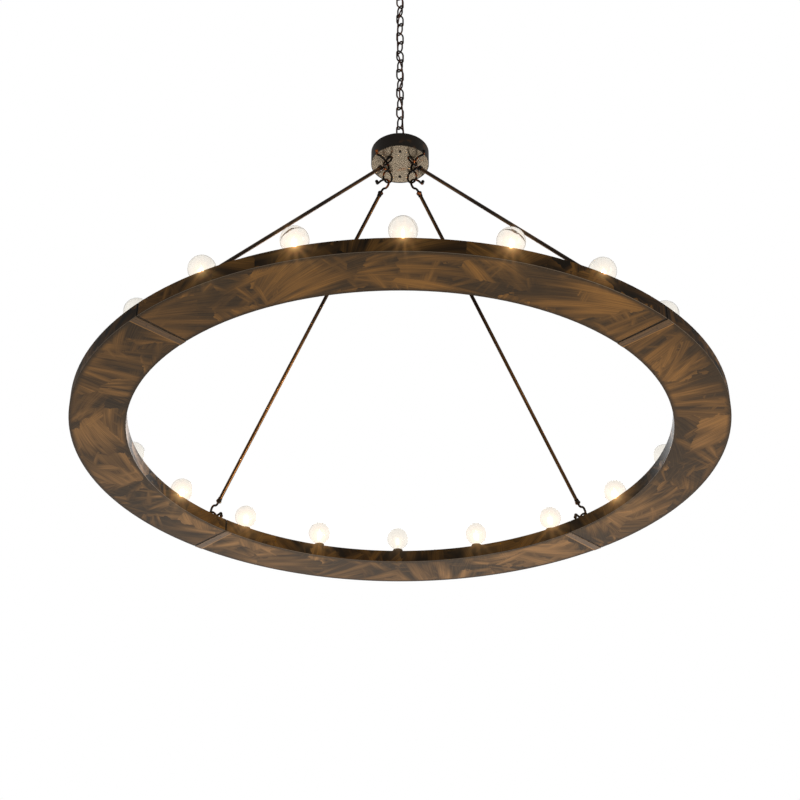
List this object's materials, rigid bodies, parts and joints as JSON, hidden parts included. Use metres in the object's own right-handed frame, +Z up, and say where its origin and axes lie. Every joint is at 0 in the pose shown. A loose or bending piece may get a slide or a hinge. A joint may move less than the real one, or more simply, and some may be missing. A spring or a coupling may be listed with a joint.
{
  "type": "wagon wheel chandelier",
  "caption": "Wagon wheel chandelier: a flat bronze ring of upright globe lamps on hooked rods under a round hub, hung on a chain from a ceiling canopy.",
  "frame": {"origin": "centre of the canopy's rim, on the ceiling", "axes": "+Z up, out of the canopy's ceiling face; -Y towards the viewer; +X to the viewer's right"},
  "size_m": [2.032, 2.032, 2.0775],
  "materials": {
    "dark_bronze": "satin",
    "ring_bronze": "brushed satin",
    "rod_bronze": "satin",
    "rubbed_bronze": "rubbed satin",
    "plate_bronze": "matt",
    "chain_bronze": "satin",
    "zinc_steel": "satin",
    "brass": "satin",
    "black_plastic": "matt",
    "connector_plastic": "matt",
    "brown_cord": "woven",
    "socket_cover": "satin",
    "clear_glass": "clear",
    "lit_filament": "glowing"
  },
  "bodies": {
    "ceiling_fitting": {"ceiling_canopy": "dark_bronze", "mounting_strap": "zinc_steel", "canopy_nipple": "brass", "strap_nut": "brass", "canopy_loop": "dark_bronze", "canopy_cord_bushing": "black_plastic"},
    "top_link": {"top_chain_link": "chain_bronze"},
    "upper_chain": {"upper_chain_links": "chain_bronze", "supply_cord": "brown_cord"},
    "lower_chain": {"lower_chain_links": "chain_bronze"},
    "bottom_link": {"bottom_chain_link": "chain_bronze"},
    "hub_and_ring": {"hub_loop": "dark_bronze", "hub_housing": "dark_bronze", "hub_plate": "plate_bronze", "hub_bracket": "zinc_steel", "hub_plate_screws": "dark_bronze", "hub_nipple": "brass", "hub_nipple_nut": "brass", "hub_cord_bushing": "black_plastic", "wire_connectors": "connector_plastic", "hub_eyes": "rubbed_bronze", "hub_eye_nuts": "zinc_steel", "rod_front_left": "rod_bronze", "rod_front_right": "rod_bronze", "rod_back_left": "rod_bronze", "rod_back_right": "rod_bronze", "rod_upper_hooks": "rubbed_bronze", "rod_upper_collars": "rubbed_bronze", "rod_lower_hooks": "rubbed_bronze", "rod_lower_collars": "rubbed_bronze", "ring_section_front": "ring_bronze", "ring_section_right": "ring_bronze", "ring_section_back": "ring_bronze", "ring_section_left": "ring_bronze", "ring_cover_front": "ring_bronze", "ring_cover_right": "ring_bronze", "ring_cover_back": "ring_bronze", "ring_cover_left": "ring_bronze", "ring_eyes": "rubbed_bronze", "ring_eye_nuts": "zinc_steel", "hanger_plates": "dark_bronze", "hanger_screws": "zinc_steel", "cover_screws": "zinc_steel", "splice_bolts": "zinc_steel", "seam_strips": "ring_bronze", "strip_rivets": "dark_bronze", "wiring_loom": "brown_cord", "lamp_sockets": "socket_cover", "socket_nipples": "brass", "socket_nuts": "brass", "screw_shells": "brass", "socket_contacts": "brass", "bulb_caps": "brass", "bulb_globes": "clear_glass", "bulb_stems": "clear_glass", "bulb_filaments": "lit_filament"}
  },
  "joints": [
    {"name": "top_link_swing", "type": "hinge", "parent": "ceiling_fitting", "child": "top_link", "pos_m": [0, 0, -0.083], "axis": [0.8192, 0.5736, 0], "range_deg": [-30, 30], "deforming": ["supply_cord"]},
    {"name": "chain_swing", "type": "hinge", "parent": "top_link", "child": "upper_chain", "pos_m": [0, 0, -0.1285], "axis": [-0.5736, 0.8192, 0], "range_deg": [-30, 30], "deforming": ["supply_cord"]},
    {"name": "chain_twist", "type": "hinge", "parent": "upper_chain", "child": "lower_chain", "pos_m": [0, 0, -0.4505], "axis": [0, 0, 1], "range_deg": [-30, 30], "deforming": ["supply_cord"]},
    {"name": "bottom_link_swing", "type": "hinge", "parent": "lower_chain", "child": "bottom_link", "pos_m": [0, 0, -0.7725], "axis": [-0.5736, 0.8192, 0], "range_deg": [-30, 30], "deforming": ["supply_cord"]},
    {"name": "hub_swing", "type": "hinge", "parent": "bottom_link", "child": "hub_and_ring", "pos_m": [0, 0, -0.8185], "axis": [0.8192, 0.5736, 0], "range_deg": [-30, 30], "deforming": ["supply_cord"]}
  ]
}
